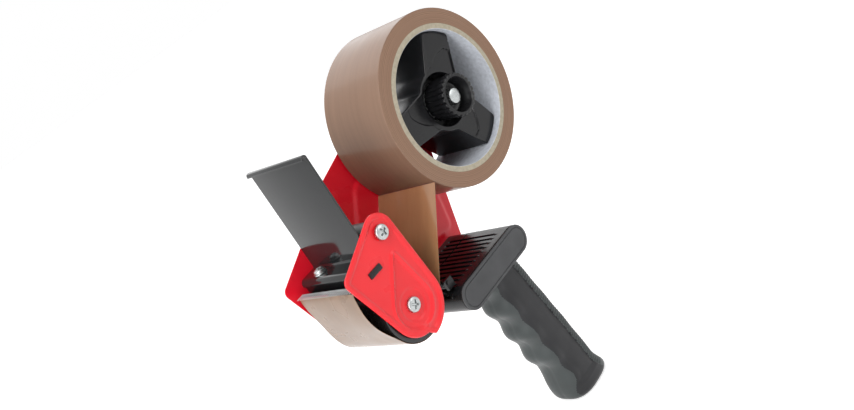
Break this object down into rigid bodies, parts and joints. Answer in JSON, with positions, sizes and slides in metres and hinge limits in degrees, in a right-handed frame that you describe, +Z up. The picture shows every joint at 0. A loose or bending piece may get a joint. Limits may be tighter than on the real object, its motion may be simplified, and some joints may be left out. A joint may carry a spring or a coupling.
{
  "type": "packing tape dispenser",
  "caption": "Hand-held packing tape dispenser with red steel side plates, a pistol grip, a hub with a tension knob and a loaded roll of brown tape.",
  "frame": {"origin": "on the hub axis, at the middle of the tape's width", "axes": "X from the blade back to the roll, Y along the hub and roller axes from the open loading side to the main side plate, Z up from the butt of the grip"},
  "size_m": [0.1761, 0.0657, 0.2493],
  "materials": {
    "side_plate_red": "deep red enamel",
    "cheek_red": "bright red enamel",
    "zinc": "bright zinc plate",
    "blade_steel": "ground steel",
    "black_gloss": "glossy black moulding",
    "grip_grey": "satin dark grey moulding",
    "grey_matte": "matte dark grey moulding",
    "wiper_grey": "glossy dark grey sheet",
    "roller_rubber": "black roller sleeve",
    "core_card": "wound card",
    "tape_wound": "wound brown film",
    "tape_film": "brown adhesive film"
  },
  "bodies": {
    "frame": {"main_side_plate": "side_plate_red", "cheek_plate": "cheek_red", "upper_spacer": "zinc", "frame_screws": "zinc", "roller_axle": "zinc", "blade_holder": "black_gloss", "cutting_blade": "blade_steel", "blade_rivets": "zinc", "wiper_foot": "wiper_grey", "wiper_screws": "zinc", "wiper_washers": "zinc", "tape_web": "tape_film", "body_shell_near": "black_gloss", "body_shell_far": "black_gloss", "body_end_cap": "grey_matte", "body_screws": "zinc", "grip_near": "grip_grey", "grip_far": "grip_grey", "grip_screws": "zinc", "grip_bolts": "zinc", "hub_bolt": "zinc", "hub_nut": "zinc", "hub_spacer": "zinc", "tension_washer": "zinc", "tension_spring": "zinc", "keeper_bracket": "black_gloss", "keeper_pin": "zinc", "keeper_spring": "blade_steel"},
    "knob": {"tension_knob": "black_gloss", "knob_nut": "zinc"},
    "roll": {"hub": "black_gloss", "roll_core": "core_card", "tape_roll": "tape_wound"},
    "roller": {"roller_sleeve": "roller_rubber", "roller_bushes": "black_gloss"},
    "wiper": {"wiper_flap": "wiper_grey"},
    "keeper": {"keeper_flap": "black_gloss"}
  },
  "joints": [
    {"name": "roll_spin", "type": "hinge", "parent": "frame", "child": "roll", "pos_m": [0, 0, 0], "axis": [0, 1, 0], "continuous": true},
    {"name": "roller_spin", "type": "hinge", "parent": "frame", "child": "roller", "pos_m": [-0.0997, 0, -0.0621], "axis": [0, 1, 0], "continuous": true},
    {"name": "knob_turn", "type": "hinge", "parent": "frame", "child": "knob", "pos_m": [0, -0.023, 0], "axis": [0, 1, 0], "range_deg": [-180, 180]},
    {"name": "wiper_flex", "type": "hinge", "parent": "frame", "child": "wiper", "pos_m": [-0.105, 0, -0.029], "axis": [0, 1, 0], "range_deg": [-6, 14], "stiffness_Nm_per_rad": 0.1},
    {"name": "keeper_swing", "type": "hinge", "parent": "frame", "child": "keeper", "pos_m": [-0.0702, 0, -0.0723], "axis": [0, 1, 0], "range_deg": [-5, 15], "stiffness_Nm_per_rad": 0.01}
  ],
  "couplings": [
    {"joint": "roller_spin", "follows": "roll_spin", "ratio": -2.6126}
  ]
}
